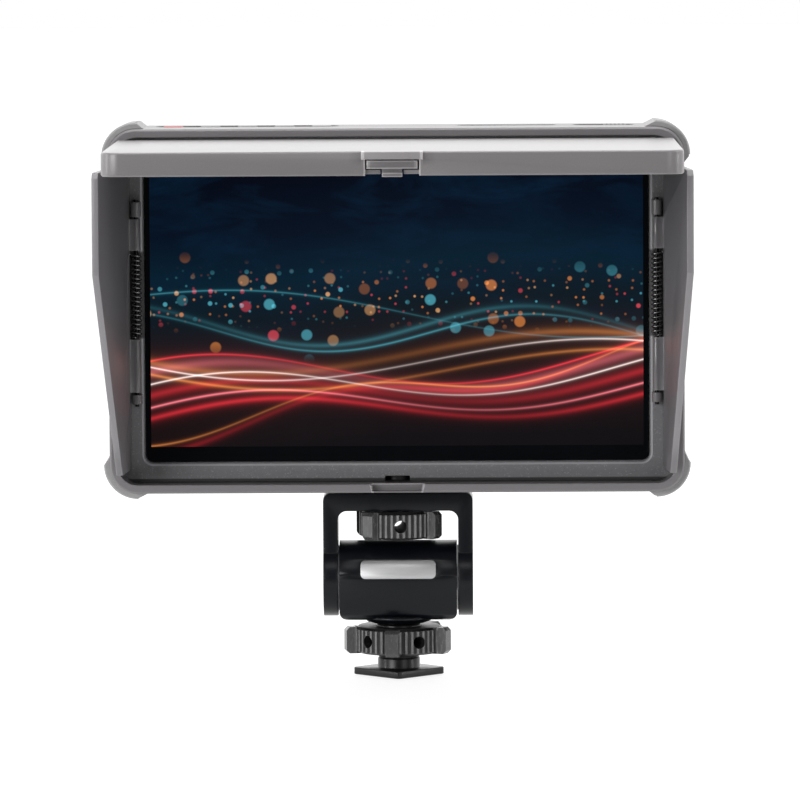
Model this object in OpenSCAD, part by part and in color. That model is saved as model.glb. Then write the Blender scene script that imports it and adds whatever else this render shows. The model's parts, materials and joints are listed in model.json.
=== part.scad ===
// Field monitor with a folding sun hood on a tilting shoe mount.
// Frame: X to the right, the screen faces -Y, Z up. Origin: centre of the
// underside of the square shoe foot. Lengths are millimetres.

/* [Monitor body] */
// Width of the front frame
body_w = 154.4; // [154:0.1:155]
// Height of the front frame
body_h = 97.9; // [97.7:0.1:98]
// Thickness of the front rim
rim_t = 2.3; // [2.2:0.05:2.4]
// Height of the middle of the monitor above the shoe foot
mon_z = 99.9; // [99.8:0.05:100]
// How far the rubber corner bumpers stand out
bump = 1.7; // [1.2:0.1:1.9]

/* [Screen] */
// Width of the cover glass
glass_w = 135.5; // [135:0.1:136]
// Height of the cover glass
glass_h = 82.4; // [82:0.1:82.8]
// Width of the picture area
view_w = 132.8; // [131:0.1:133]
// Height of the picture area
view_h = 74.7; // [74:0.1:75]

/* [Sun hood] */
// Width of the hood lid
lid_w = 149; // [148.8:0.1:149.1]
// Length of the hood lid from its hinge axis to its front lip
lid_l = 90; // [88:0.5:90]
// Depth of the lid's side walls
lid_d = 6.2; // [6:0.1:6.2]
// Reach of the side flaps
flap_l = 61; // [58:0.5:61]
// Outward lean of the left flap at rest
flap_splay_l = 4.8; // [4:0.1:5]
// Outward lean of the right flap at rest
flap_splay_r = 4.2; // [4:0.1:5]

/* [Mount] */
// Width over the yoke's arms
yoke_w = 40.5; // [40:0.1:41]
// Radius of the drum head and of the yoke's arm ends
drum_r = 10.3; // [10:0.1:10.4]
// Diameter of the upper thumbwheel
wheel_u = 25.6; // [25:0.1:25.8]
// Diameter of the lower thumbwheel
wheel_l = 29.5; // [29:0.1:29.6]
// Side of the square shoe foot
foot_s = 18; // [17.8:0.1:18.2]

/* [Hidden] */

$fn = 48;
DY = -3.5;            // monitor frame to mount frame along Y
DZ = 0.2;             // and along Z
yf = -15;             // rim front plane, monitor frame
yb = 12;              // back plane, monitor frame
ybz = -5;             // bezel face
rco = 7.5;            // outer corner radius
rci = rco - rim_t;
hx = -11.9;           // lid hinge axis Y, monitor frame
hz = mon_z + body_h/2 - rim_t - 3.58;  // lid hinge axis Z
lid_up = 0.5;         // rise of the lid at rest, degrees
top_z = mon_z + body_h/2;
bot_z = mon_z - body_h/2;
fax = 70;             // flap hinge axis X
fay = -6.7;           // flap hinge axis Y, monitor frame
foff = 1.75;          // inner face of a flap from its hinge axis
ft = 1.75;            // flap thickness
tilt_z = 26.3;        // tilt axis height
flap_top = hz - 3.5;
grey = [0.45, 0.44, 0.45];
black = [0.12, 0.125, 0.14];
wheelg = [0.22, 0.22, 0.22];

// flat outline with round corners
module rr(w, h, r) {
  square([w - 2*r, h], center = true);
  square([w, h - 2*r], center = true);
  for (sx = [-1, 1], sy = [-1, 1]) translate([sx*(w/2 - r), sy*(h/2 - r)]) circle(r);
}
// outline in X and Z carried along Y
module slab(y0, y1) translate([0, y1, 0]) rotate([90, 0, 0]) linear_extrude(y1 - y0) children();
// local plan x, y and height z turned to X, Z and -Y
module face(z = mon_z) translate([0, 0, z]) rotate([90, 0, 0]) children();
// ring round a rounded rectangle; p holds [outward distance from the corner centres, height]
module ring(w, h, rc, p) {
  for (m = [0, 1]) mirror([0, m, 0])
    translate([-(w/2 - rc), h/2 - rc, 0]) rotate([90, 0, 90]) linear_extrude(w - 2*rc) polygon(p);
  for (m = [0, 1]) mirror([m, 0, 0])
    translate([w/2 - rc, h/2 - rc, 0]) rotate([90, 0, 0]) linear_extrude(h - 2*rc) polygon(p);
  for (a = [0 : 3]) translate([(a == 0 || a == 3 ? 1 : -1)*(w/2 - rc), (a < 2 ? 1 : -1)*(h/2 - rc), 0])
    rotate([0, 0, 90*a]) rotate_extrude(angle = 90) polygon(p);
}
module mon() translate([0, DY, DZ]) children();
module cy(r, h) cylinder(r = r, h = h);
// cylinder along X from x0 to x1
module cx(r, x0, x1) translate([x0, 0, 0]) rotate([0, 90, 0]) cylinder(r = r, h = x1 - x0);
// cylinder along Y from y0 to y1
module cyy(r, y0, y1) translate([0, y1, 0]) rotate([90, 0, 0]) cylinder(r = r, h = y1 - y0);
module box(x0, x1, y0, y1, z0, z1) translate([x0, y0, z0]) cube([x1 - x0, y1 - y0, z1 - z0]);

// ---------- mount ----------
module shoe_base() color(wheelg) {
  difference() {
    union() {
      rotate([0, 0, 45]) translate([0, 0, 0]) linear_extrude(1.9) rr(foot_s, foot_s, 1.4);
      translate([0, 0, 1.9]) rotate_extrude() polygon([[0, 0], [5.7, 0], [5.7, 2.6], [5.4, 2.9],
        [5.4, 3.3], [6.1, 3.3], [6.1, 11.7], [5.7, 12.1], [4, 12.1], [4, 20.1], [0, 20.1]]);
    }
    translate([0, 0, 15]) cy(1.5, 8);
  }
}
module pan_retaining_screw() color("silver") {
  translate([0, 0, 15.2]) cy(1.5, 6.9);
  translate([0, 0, 22.1]) difference() {
    cy(5.4, 1.7);
    translate([0, 0, 0.6]) cylinder(r = 1.6, h = 2, $fn = 6);
  }
}
module clamp_washer() color([0.15, 0.15, 0.15])
  translate([0, 0, 6]) difference() { cy(9.6, 1.3); translate([0, 0, -1]) cy(6.35, 4); }

// lobed thumbwheel: radius r over the lobes and rc over the grip, lobes at the angles in la, tommy holes at those in ha
module wheel(r, rc, h, la, ha, rib) difference() {
  union() {
    rotate_extrude() polygon([[0, 0], [rc - 0.9, 0], [rc, 0.8], [rc, h - 0.8], [rc - 0.9, h], [0, h]]);
    for (a = [0 : rib : 359]) rotate([0, 0, a]) translate([rc - 0.1, 0, 0.6]) cylinder(r = 0.55, h = h - 1.2, $fn = 12);
    for (a = la) rotate([0, 0, a]) intersection() {
      translate([rc - 2, -1.75, 0]) cube([r - rc + 2, 3.5, h]);
      rotate([90, 0, 0]) translate([0, 0, -2]) linear_extrude(4)
        polygon([[rc - 3, 0], [r - 0.9, 0], [r, 0.9], [r, h - 0.9], [r - 0.9, h], [rc - 3, h]]);
    }
  }
  for (a = ha) rotate([0, 0, a]) translate([0, 0, h/2]) cx(1.7, rc - 6, r + 1);
}
module lower_lock_wheel() color(wheelg) translate([0, 0, 6.1]) difference() {
  wheel(wheel_l/2, 11.8, 7.2, [-97, -24, 47, 119, 192], [-62, 10, 82, 154, 226], 8);
  translate([0, 0, -1]) cy(6.18, 9);
  translate([0, 0, -1]) cy(9.7, 2.3);
}
module drum_housing() color(black) difference() {
  union() {
    intersection() {
      union() {
        translate([0, 0, tilt_z]) cx(drum_r - 0.1, -15.9, 15.9);
        rotate([90, 0, 90]) translate([0, 0, -15.9]) linear_extrude(31.8)
          polygon([[-10.2, 27.9], [-10.15, 25], [-9.95, 22], [-9.5, 19.3], [-8.7, 17.1], [-7.5, 15.9], [-6, 15.4],
            [6, 15.4], [7.5, 15.9], [8.7, 17.1], [9.5, 19.3], [9.95, 22], [10.15, 25], [10.2, 27.9]]);
      }
      slab(-12, 12) translate([0, 26]) rr(31.8, 21.2, 2.4);
    }
    intersection() {
      translate([0, 0, tilt_z]) cx(drum_r - 0.1, -15.9, 15.9);
      slab(-12, 12) translate([0, 30.2]) rr(31.8, 12.8, 0.5);
    }
    translate([0, 0, 14.2]) rotate_extrude() polygon([[0, 0], [7.3, 0], [8.7, 0.5], [9.7, 1.4], [9.7, 1.8], [0, 1.8]]);
  }
  translate([0, 0, 13]) cy(5.2, 9.1);
  translate([0, 0, 22]) cy(5.8, 3);
  translate([0, 0, tilt_z]) { cx(2, -17, -7); cx(2, 7, 17); cx(4.6, -17, -13.4); cx(4.6, 13.4, 17); }
  difference() {
    slab(-12, -5) translate([0, 29.45]) rr(20.5, 5.1, 1.4);
    translate([0, 0, tilt_z]) cx(9.8, -13, 13);
  }
}
module badge_plate() color([0.85, 0.85, 0.87]) intersection() {
  slab(-12, -5) translate([0, 29.45]) rr(20.3, 4.9, 1.3);
  translate([0, 0, tilt_z]) difference() { cx(10.45, -12, 12); cx(9.8, -13, 13); }
}
module pan_bush() color([0.85, 0.82, 0.7]) translate([0, 0, 14.25]) difference() {
  cy(5.2, 7.7); translate([0, 0, -1]) cy(4.05, 10);
}
module tilt_shoulder_screws() color("silver") for (m = [0, 1]) mirror([m, 0, 0]) translate([0, 0, tilt_z])
  difference() {
    union() { cx(2, 8.5, 15.9); cx(3, 15.9, 19.1); cx(5.2, 18.7, 19.95); }
    translate([18.9, 0, 0]) rotate([0, 90, 0]) cylinder(r = 1.6, h = 2, $fn = 6);
  }
module tilt_spring_washers() color("silver") for (m = [0, 1]) mirror([m, 0, 0]) translate([0, 0, tilt_z])
  difference() { cx(4.5, 13.5, 15.8); cx(2.05, 13, 16.5); }

module yoke_bracket() color(black) difference() {
  union() {
    slab(-7.2, 7.2) difference() {
      union() {
        translate([-yoke_w/2, tilt_z]) square([yoke_w, 49.9 - tilt_z - 2]);
        translate([-yoke_w/2 + 2, tilt_z]) square([yoke_w - 4, 49.9 - tilt_z]);
        for (s = [-1, 1]) translate([s*(yoke_w/2 - 2), 47.9]) circle(2);
      }
      translate([-16.25, 0]) square([32.5, 42.7]);
      translate([-13.85, 0]) square([27.7, 45.1]);
      for (s = [-1, 1]) translate([s*13.85, 42.7]) circle(2.4);
    }
    for (s = [-1, 1]) translate([0, 0, tilt_z]) cx(drum_r, s > 0 ? 16.25 : -yoke_w/2, s > 0 ? yoke_w/2 : -16.25);
  }
  translate([0, 0, tilt_z]) {
    cx(3.05, -22, -15); cx(3.05, 15, 22);
    cx(5.4, -22, -18.6); cx(5.4, 18.6, 22);
  }
  translate([0, 0, 44]) cy(3.4, 8);
}
module yoke_friction_washers() color([0.8, 0.8, 0.78]) for (m = [0, 1]) mirror([m, 0, 0])
  translate([0, 0, tilt_z]) difference() { cx(8.8, 15.95, 16.25); cx(3.05, 15, 17); }
module rubber_pad() color([0.08, 0.08, 0.08]) translate([0, 0, 49.9]) difference() {
  linear_extrude(1.23) rr(34, 13, 4);
  translate([0, 0, -1]) cy(3.4, 4);
}
module upper_thumbwheel() color(wheelg) translate([0, 0, 37.4]) difference() {
  wheel(wheel_u/2, 10.1, 7.4, [-130, -31, 52, 144], [], 9);
  rotate([0, 0, -85.5]) translate([0, 0, 3.6]) cx(1.7, -15, 15);
  translate([0, 0, 5.55]) cy(3.17, 4);
}
module camera_screw() color("silver") translate([0, 0, 42.95]) {
  cy(3.17, 12.4);
}

// ---------- monitor ----------
module front_frame() color(grey) mon() difference() {
  union() {
    face() ring(body_w, body_h, rco, [[rci, 15], [7.0, 15], [rco, 14.5], [rco, 8], [6.3, 8], [6.3, 2], [rci, 2]]);
    slab(ybz, -3) difference() {
      translate([0, mon_z]) rr(body_w - 2*rim_t + 0.4, body_h - 2*rim_t + 0.4, rci + 0.2);
      translate([0, 100.05]) rr(133.8, 76.2, 1);
    }
    // hinge ears for the lid
    for (s = [-1, 1]) translate([0, hx, hz]) cx(2.4, s > 0 ? 69.9 : -75.4, s > 0 ? 75.4 : -69.9);
    // bosses for the case screws
    for (x = [-69, 69], z = [57, 142.6]) translate([x, 0, z]) cyy(2.55, -3.5, 2.9);
    // knuckles that hold the flap pins
    for (s = [-1, 1], zz = [[125, 4], [74.5, 2.5]]) translate([s*fax, fay, zz[0]]) {
      cy(1.4, zz[1]);
      translate([-1.2, 0, 0]) cube([2.4, 1.9, zz[1]]);
    }
  }
  slab(-5.1, -3.5) translate([0, 99.85]) rr(glass_w + 0.3, glass_h + 0.3, 2.1);
  face(99.85) ring(glass_w + 0.3, glass_h + 0.3, 2.1, [[2.0, 5.01], [3.0, 5.01], [2.05, 4.1], [2.0, 4.1]]);
  // small chamfer under the top rim's front edge
  translate([-69.8, 0, 0]) rotate([90, 0, 90]) linear_extrude(139.6)
    polygon([[-14.5, top_z - rim_t], [-15.1, top_z - rim_t + 0.2], [-15.1, top_z - rim_t - 0.1], [-14.5, top_z - rim_t - 0.1]]);
  // finger notch and hook slot
  slab(-15.1, -12.4) translate([0, bot_z]) polygon([[-6.7, 0.4], [6.7, 0.4], [7.5, 3.6], [-7.5, 3.6]]);
  slab(-5.1, -2.9) translate([0, bot_z + rim_t + 0.7]) square([6.7, 1.3], center = true);
  for (s = [-1, 1]) translate([0, hx, hz]) cx(1.0, s > 0 ? 69 : -76.1, s > 0 ? 76.1 : -69);
  for (s = [-1, 1]) translate([s*fax, fay, 73.8]) cy(0.575, 56);
  for (x = [-69, 69], z = [57, 142.6]) translate([x, 0, z]) cyy(1.25, -1.4, 3);
}
module bumper() {
  rotate_extrude(angle = 90) polygon([[rco, 12], [rco + bump - 0.4, 12], [rco + bump, 11.6],
    [rco + bump - 0.35, -9], [rco, -10.7], [rco - 0.6, -10.2], [rco - 0.6, -9], [rco, -8]]);
  translate([0, 0, -9]) linear_extrude(21) {
    polygon([[0, rco], [0, rco + bump - 0.35], [-0.3, rco + bump - 0.35], [-3, rco]]);
    polygon([[rco, 0], [rco, -0.5 - bump], [rco + bump - 0.35, -0.5], [rco + bump - 0.35, 0]]);
  }
}
module top_cut(xc, w, d, z0, yc = 1.5) translate([xc, yc, z0]) linear_extrude(20) rr(w, d, d/2 - 0.01);
module rear_shell() color(grey) mon() difference() {
  union() {
    face() ring(body_w, body_h, rco, [[6.4, 8], [rco, 8], [rco, -9.5], [5, -12], [4, -12], [4, -10], [5.5, -10], [5.5, 2], [6.4, 2]]);
    slab(10, 12) translate([0, mon_z]) rr(body_w - 7, body_h - 7, 4);
    face() for (a = [0 : 3]) translate([(a == 0 || a == 3 ? 1 : -1)*(body_w/2 - rco), (a < 2 ? 1 : -1)*(body_h/2 - rco), 0])
      rotate([0, 0, 90*a]) bumper();
    // boss round the thread insert
    translate([0, -DY, bot_z + 1]) cy(5.4, 6.2);
    // screw posts
    for (x = [-69, 69], z = [57, 142.6]) translate([x, 0, z]) cyy(2.9, 3, 11);
  }
  top_cut(-40, 49.5, 7.2, top_z - 0.8);
  for (i = [0 : 4]) translate([-60 + 10*i - 2.95, 1.5 - 2.3, top_z - 3]) cube([5.9, 4.6, 4]);
  top_cut(55.9, 16.6, 6, top_z - 0.8);
  translate([50, 1.5 - 1.3, top_z - 3]) cube([11.6, 2.6, 4]);
  top_cut(29.8, 26.8, 4, top_z - 0.6);
  for (i = [0 : 6]) translate([19.6 + 3.4*i - 0.8, 1.5 - 1.2, top_z - 3]) cube([1.6, 2.4, 4]);
  translate([0, -DY, bot_z - 1]) cy(4.5, 9);
  // side openings for the sockets
  for (z = [88, 108]) box(-78, -74, 2.7, 8.5, z - 7.9, z + 7.9);
  box(-78, -74, 3.7, 7.5, 66.9, 77.1);
  translate([0, 5.6, 126]) cx(2.7, -78, -74);
  // rear fan slots
  for (i = [-4 : 4]) box(48 - 14 + abs(i)*1.1, 48 + 14 - abs(i)*1.1, 9, 13, 112 + 3.4*i - 0.8, 112 + 3.4*i + 0.8);
  // side vents on the right
  for (i = [0 : 9]) box(74, 78, 0, 7, 84 + 5*i, 86 + 5*i);
  for (x = [-69, 69], z = [57, 142.6]) translate([x, 0, z]) { cyy(1.25, 2, 13); cyy(2.4, 10.5, 13); }
  for (x = [-68, -11], z = [65, 131]) translate([x, 0, z]) cyy(1.0, 9.5, 11.2);
  for (x = [-14, 14], z = [64, 116]) translate([x, 0, z]) cyy(1.0, 9, 13);
}
module thread_insert() color([0.8, 0.65, 0.3]) translate([0, 0, bot_z + DZ]) difference() {
  cy(4.5, 7.2); translate([0, 0, -1]) cy(3.25, 7.2);
}
module cover_glass() color([0.03, 0.04, 0.06]) mon() slab(-4.7, -3.5) translate([0, 99.85]) rr(glass_w, glass_h, 2);
module lcd_panel() color([0.1, 0.15, 0.3]) mon() slab(-3, -1.2) translate([0, 100.05]) rr(138, 80, 1);
module backlight_unit() color([0.9, 0.9, 0.92]) mon() slab(-1.2, 1.8) translate([0, 100.05]) rr(138, 80, 1);
module heat_spreader() color([0.75, 0.75, 0.77]) mon() {
  slab(1.8, 2.6) translate([0, 100.05]) rr(134, 78, 1);
  for (i = [0 : 8]) box(34, 62, 2.6, 4.4, 97.6 + 3.5*i, 98.8 + 3.5*i);
}
module main_board() color([0.05, 0.35, 0.15]) mon() difference() {
  union() {
    slab(8.4, 9.8) translate([-41, 98]) square([64, 74], center = true);
    box(-40, -24, 6.9, 8.4, 100, 116);
    box(-50, -38, 7.4, 8.4, 70, 82);
    box(-20, -12, 6.4, 8.4, 120, 128);
  }
  for (x = [-68, -11], z = [65, 131]) translate([x, 0, z]) cyy(1.0, 8, 10);
}
module board_screws() color("silver") mon() for (x = [-68, -11], z = [65, 131]) translate([x, 0, z]) {
  cyy(1.9, 7.2, 8.4); cyy(1.0, 8.4, 11);
}
module keypad_board() color([0.05, 0.35, 0.15]) mon() {
  box(-65.4, 65.4, -1.7, 4.8, 143.9, 144.9);
  for (i = [0 : 4]) translate([-60 + 10*i, 1.5, 144.9]) cy(1.5, 0.4);
}
module hdmi_sockets() color([0.7, 0.7, 0.72]) mon() for (z = [88, 108]) {
  difference() {
    box(-76.6, -64, 2.8, 8.4, z - 7.7, z + 7.7);
    box(-77, -66, 3.3, 7.9, z - 7.1, z + 7.1);
  }
  translate([-75.2, 4.9, z - 5.5]) cube([9.4, 1.4, 11]);
}
module usb_socket() color([0.7, 0.7, 0.72]) mon() {
  difference() {
    box(-76.6, -69, 3.9, 7.3, 67.3, 76.7);
    box(-77, -70, 4.2, 7.0, 67.7, 76.3);
  }
  translate([-76, 5.2, 69]) cube([6.2, 0.8, 6]);
}
module headphone_socket() color([0.1, 0.1, 0.1]) mon() translate([0, 5.6, 126]) difference() {
  union() { cx(2.6, -76.7, -63); translate([-75, -2.8, -3]) cube([12, 5.6, 6]); }
  cx(1.8, -77, -64);
}
module speaker() color([0.15, 0.15, 0.15]) mon() difference() {
  box(18, 42, -1.5, 4.5, 145, 146.8);
  translate([30, 1.5, 146]) linear_extrude(2) rr(20, 4, 1.5);
}
module fan_housing() color([0.1, 0.1, 0.1]) mon() difference() {
  slab(4.6, 9.8) translate([48, 112]) rr(34, 34, 3);
  translate([48, 0, 112]) difference() { cyy(15.6, 5.2, 10); cyy(1.0, 4, 9); }
  for (a = [0 : 5]) translate([48, 0, 112]) rotate([0, 60*a, 0]) translate([8.6, 0, 0]) cyy(3.4, 4, 6);
}
module fan_rotor() color([0.14, 0.14, 0.15]) mon() translate([48, 0, 112]) {
  difference() { cyy(5, 5.4, 9.4); cyy(1.06, 5, 9.1); }
  for (a = [0 : 8]) rotate([0, 40*a, 0]) translate([9.6, 7.4, 0]) rotate([32, 0, 0]) cube([10.6, 0.9, 3.6], center = true);
}
module battery_plate() color([0.12, 0.12, 0.12]) mon() difference() {
  union() {
    slab(12, 14.5) translate([0, 90]) rr(46, 72, 3);
    for (m = [0, 1]) mirror([m, 0, 0]) {
      box(19.6, 22.4, 14.4, 18.2, 60, 122);
      for (z = [[62, 80], [90, 119]]) box(17.8, 20, 16.8, 18.2, z[0], z[1]);
    }
    box(-10, 10, 14.4, 16.4, 120, 125);
  }
  slab(12.7, 17) translate([0, 61]) square([10.4, 8.4], center = true);
  for (x = [-8, 0, 8]) box(x - 1, x + 1, 13, 18, 112, 119);
  for (x = [-14, 14], z = [64, 116]) translate([x, 0, z]) { cyy(1.3, 11, 16); cyy(2.4, 13.3, 16); }
}
module battery_contacts() color([0.85, 0.7, 0.35]) mon() for (x = [-8, 0, 8]) box(x - 0.6, x + 0.6, 13, 15.4, 112.5, 118.5);
module battery_release() color([0.2, 0.2, 0.2]) mon() {
  slab(14.2, 16.2) translate([0, 61]) square([9.8, 7.8], center = true);
  for (i = [-1 : 1]) box(-4, 4, 16.2, 16.6, 61 + 2*i - 0.4, 61 + 2*i + 0.4);
}
module plate_screws() color("silver") mon() for (x = [-14, 14], z = [64, 116]) translate([x, 0, z])
  difference() { union() { cyy(1.0, 10.2, 13.3); cyy(2.1, 13.3, 14.4); }
    translate([0, 14.6, 0]) rotate([90, 0, 0]) cylinder(r = 1, h = 0.8, $fn = 6); }
module case_screws() color("silver") mon() for (x = [-69, 69], z = [57, 142.6]) translate([x, 0, z])
  difference() { union() { cyy(1.25, -1, 10.5); cyy(2.3, 10.5, 11.8); }
    translate([0, 12, 0]) rotate([90, 0, 0]) cylinder(r = 1.1, h = 0.9, $fn = 6); }
module lid_hinge_pins() color("silver") mon() for (s = [-1, 1]) translate([0, hx, hz])
  cx(1.0, s > 0 ? 64.2 : -76.1, s > 0 ? 76.1 : -64.2);
module flap_hinge_pins() color("silver") mon() for (s = [-1, 1]) translate([s*fax, fay, 73.8]) cy(0.575, 55.8);

// ---------- hood ----------
lz = hz + 3;          // top of the lid
lb = lz - lid_d;      // lower edge of the lid's walls
ly0 = hx - lid_l;     // front of the lid
// turns the lid up about its hinge to where it rests
module lid_rest() mon() translate([0, hx, hz]) rotate([-lid_up, 0, 0]) translate([0, -hx, -hz]) children();
module hood_lid() color([0.52, 0.51, 0.52]) lid_rest() difference() {
  union() {
    intersection() {
      translate([0, ly0 + (lid_l + 3.1)/2, 0]) {
        ring(lid_w, lid_l + 3.1, 4.9, [[3.1, lb], [4.5, lb], [4.9, lb + 0.4], [4.9, lz - 0.35], [4.55, lz], [3.1, lz]]);
        translate([0, 0, lz - 1.8]) linear_extrude(1.8) rr(lid_w - 3.4, lid_l + 3.1 - 3.4, 3.2);
      }
      union() {
        box(-80, 80, ly0 - 1, hx - 4.7, lb - 1, lz + 1);
        box(-69.5, 69.5, ly0 - 1, hx, lb - 1, lz + 1);
      }
    }
    translate([0, hx, hz]) cx(3, -69.5, 69.5);
    // ledge over the latch
    box(-7.8, 7.8, ly0 - 0.6, ly0 + 2, lz - 2, lz - 0.1);
  }
  box(-6.9, 6.9, ly0 - 1, ly0 + 1.15, lb - 1, lz - 2);
  box(-6.9, 6.9, ly0 - 1, ly0 + 1.85, lz - 4.7, lz - 2);
  box(-6.9, 6.9, ly0 - 1, ly0 + 1.85, lb - 1, lb + 0.4);
  box(-2.95, 2.95, ly0 - 1, ly0 + 1.85, lb - 1, lz - 4);
  for (s = [-1, 1]) translate([0, hx, hz]) cx(1.05, s > 0 ? 63.8 : -70, s > 0 ? 70 : -63.8);
}
module lid_latch() color([0.42, 0.41, 0.42]) lid_rest() {
  box(-6.5, 6.5, ly0 + 0.1, ly0 + 1.1, lz - 4.4, lz - 2.3);
  box(-5.6, 5.6, ly0 + 0.5, ly0 + 4.4, lz - 4.4, lz - 2.3);
  box(-2.6, 2.6, ly0 + 0.3, ly0 + 1.05, lb + 0.6, lz - 4.3);
  box(-2.6, 2.6, ly0 + 0.1, ly0 + 1.05, lb - 0.3, lb + 0.7);
}
module latch_spring() color("silver") lid_rest() for (x = [-3.6, 3.6]) translate([x, 0, lz - 3.35]) cyy(0.75, ly0 + 4.4, ly0 + 8);
module latch_keeper() color([0.2, 0.2, 0.2]) lid_rest() {
  box(-7, 7, ly0 + 8, ly0 + 9.2, lz - 5, lz - 1.8);
  for (s = [-1, 1]) box(s > 0 ? 5.9 : -7, s > 0 ? 7 : -5.9, ly0 + 3.1, ly0 + 8.1, lz - 5, lz - 1.8);
}

// plan x of a flap is its reach, plan y its distance outward from the hinge axis
module flap() {
  z0 = 56.8; z1 = flap_top;
  difference() {
    union() {
      translate([0, foff + ft, 0]) rotate([90, 0, 0]) linear_extrude(ft) difference() {
        polygon([[-1, z0], [-1, z1], [flap_l - 1.5, z1 + 0.4], [flap_l, z1 - 1.1], [flap_l, 113.2], [17.5, z0]]);
      }
      // two barrels for the hinge pin, with a gap for the spring
      for (z = [[115.9, 8.5], [77.6, 14.4]]) translate([0, 0, z[0]]) {
        cy(1.05, z[1]);
        translate([-1, 0, 0]) cube([2, foff + 0.1, z[1]]);
      }
    }
    translate([0, 0, 70]) cy(0.64, 62);
  }
}
// s is -1 for the left flap and 1 for the right one
module place_flap(s) mon() translate([s*fax, fay, 0]) mirror([s < 0 ? 1 : 0, 0, 0])
  rotate([0, 0, -90 + (s < 0 ? flap_splay_l : flap_splay_r)]) children();
module left_flap() color(grey) place_flap(-1) flap();
module right_flap() color(grey) place_flap(1) flap();
module flap_spring() {
  difference() {
    rotate_extrude() polygon(concat([[0.9, 92.3]], [for (i = [0 : 37]) [i % 2 == 0 ? 1.3 : 1.52, 92.3 + i*0.63]], [[0.9, 92.3 + 37*0.63]]));
  }
  translate([0, 1.2, 115.2]) cx(0.3, 0, 4.5);
}
module left_flap_spring() color([0.1, 0.1, 0.1]) place_flap(-1) flap_spring();
module right_flap_spring() color([0.1, 0.1, 0.1]) place_flap(1) flap_spring();

// ---------- keys ----------
module key(i) mon() translate([-60 + 10*i, 1.5, 0]) {
  box(-2.75, 2.75, -2.1, 2.1, 146.4, top_z - 0.2);
  translate([0, 0, top_z - 0.2]) linear_extrude(0.3) rr(5.1, 3.8, 1.2);
  box(-3.6, 3.6, -2.9, 2.9, 146.0, 146.7);
}
module power_button() color([0.8, 0.15, 0.15]) key(0);
module input_button() color(grey) key(1);
module left_button() color(grey) key(2);
module right_button() color(grey) key(3);
module menu_button() color(grey) key(4);
module lock_slider() color(grey) mon() translate([59, 1.5, 0]) {
  box(-3.1, 3.1, -2, 2, top_z - 0.6, top_z + 0.1);
  for (i = [-2 : 2]) box(i*1.1 - 0.2, i*1.1 + 0.2, -1.7, 1.7, top_z, top_z + 0.3);
  box(-2.2, 2.2, -1.0, 1.0, 146.2, top_z - 0.5);
  box(-3.4, 3.4, -2.2, 2.2, 145.8, 146.5);
}

shoe_base();
pan_retaining_screw();
clamp_washer();
lower_lock_wheel();
drum_housing();
badge_plate();
pan_bush();
tilt_shoulder_screws();
tilt_spring_washers();
yoke_bracket();
yoke_friction_washers();
rubber_pad();
upper_thumbwheel();
camera_screw();
front_frame();
rear_shell();
thread_insert();
cover_glass();
lcd_panel();
backlight_unit();
heat_spreader();
main_board();
keypad_board();
hdmi_sockets();
usb_socket();
headphone_socket();
speaker();
fan_housing();
fan_rotor();
battery_plate();
battery_contacts();
battery_release();
plate_screws();
case_screws();
board_screws();
lid_hinge_pins();
flap_hinge_pins();
hood_lid();
lid_latch();
latch_spring();
latch_keeper();
left_flap();
right_flap();
left_flap_spring();
right_flap_spring();
power_button();
input_button();
left_button();
right_button();
menu_button();
lock_slider();
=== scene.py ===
import json
import math
import bmesh
import bpy
from mathutils import Matrix, Vector

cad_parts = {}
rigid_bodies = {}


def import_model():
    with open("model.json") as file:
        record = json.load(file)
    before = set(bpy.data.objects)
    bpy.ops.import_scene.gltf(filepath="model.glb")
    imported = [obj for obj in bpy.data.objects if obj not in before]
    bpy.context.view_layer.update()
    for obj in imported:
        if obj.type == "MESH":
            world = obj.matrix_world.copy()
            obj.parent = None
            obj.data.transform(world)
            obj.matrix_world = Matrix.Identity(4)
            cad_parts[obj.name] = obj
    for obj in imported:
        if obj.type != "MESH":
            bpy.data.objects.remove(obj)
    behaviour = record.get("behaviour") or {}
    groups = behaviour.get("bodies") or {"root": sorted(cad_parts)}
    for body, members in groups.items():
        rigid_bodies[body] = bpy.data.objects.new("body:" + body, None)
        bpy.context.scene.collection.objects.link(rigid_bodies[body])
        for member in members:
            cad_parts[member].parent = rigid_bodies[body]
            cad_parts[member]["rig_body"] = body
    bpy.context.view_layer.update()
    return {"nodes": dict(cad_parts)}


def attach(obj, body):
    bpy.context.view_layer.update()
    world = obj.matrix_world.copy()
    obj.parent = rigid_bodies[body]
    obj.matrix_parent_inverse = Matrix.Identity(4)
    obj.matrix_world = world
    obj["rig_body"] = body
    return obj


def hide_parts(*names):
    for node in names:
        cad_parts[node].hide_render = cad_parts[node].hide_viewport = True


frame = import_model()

N = frame["nodes"]
scene = bpy.context.scene
MM = 0.001


# ------------------------------------------------------------------ camera
F_PX, DIST, ELEV, AZIM, ROLL = 6830.0, 1.850, math.radians(4.8), math.radians(0.55), math.radians(0.32)
TARGET = Vector((0.00068, 0.0, 0.0746))
fw = Vector((-math.sin(AZIM) * math.cos(ELEV), math.cos(AZIM) * math.cos(ELEV), -math.sin(ELEV)))
rt = Vector((math.cos(AZIM), math.sin(AZIM), 0.0))
up = rt.cross(fw)
cam = bpy.data.objects.new("camera", bpy.data.cameras.new("camera"))
scene.collection.objects.link(cam)
cam.matrix_world = (Matrix.Translation(TARGET - fw * DIST)
                    @ Matrix((rt, up, -fw)).transposed().to_4x4()
                    @ Matrix.Rotation(-ROLL, 4, "Z"))
cam.data.sensor_width = 36.0
cam.data.lens = F_PX * 36.0 / 800.0
cam.data.clip_start, cam.data.clip_end = 0.05, 60.0
cam.data.dof.use_dof = False
scene.camera = cam


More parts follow.
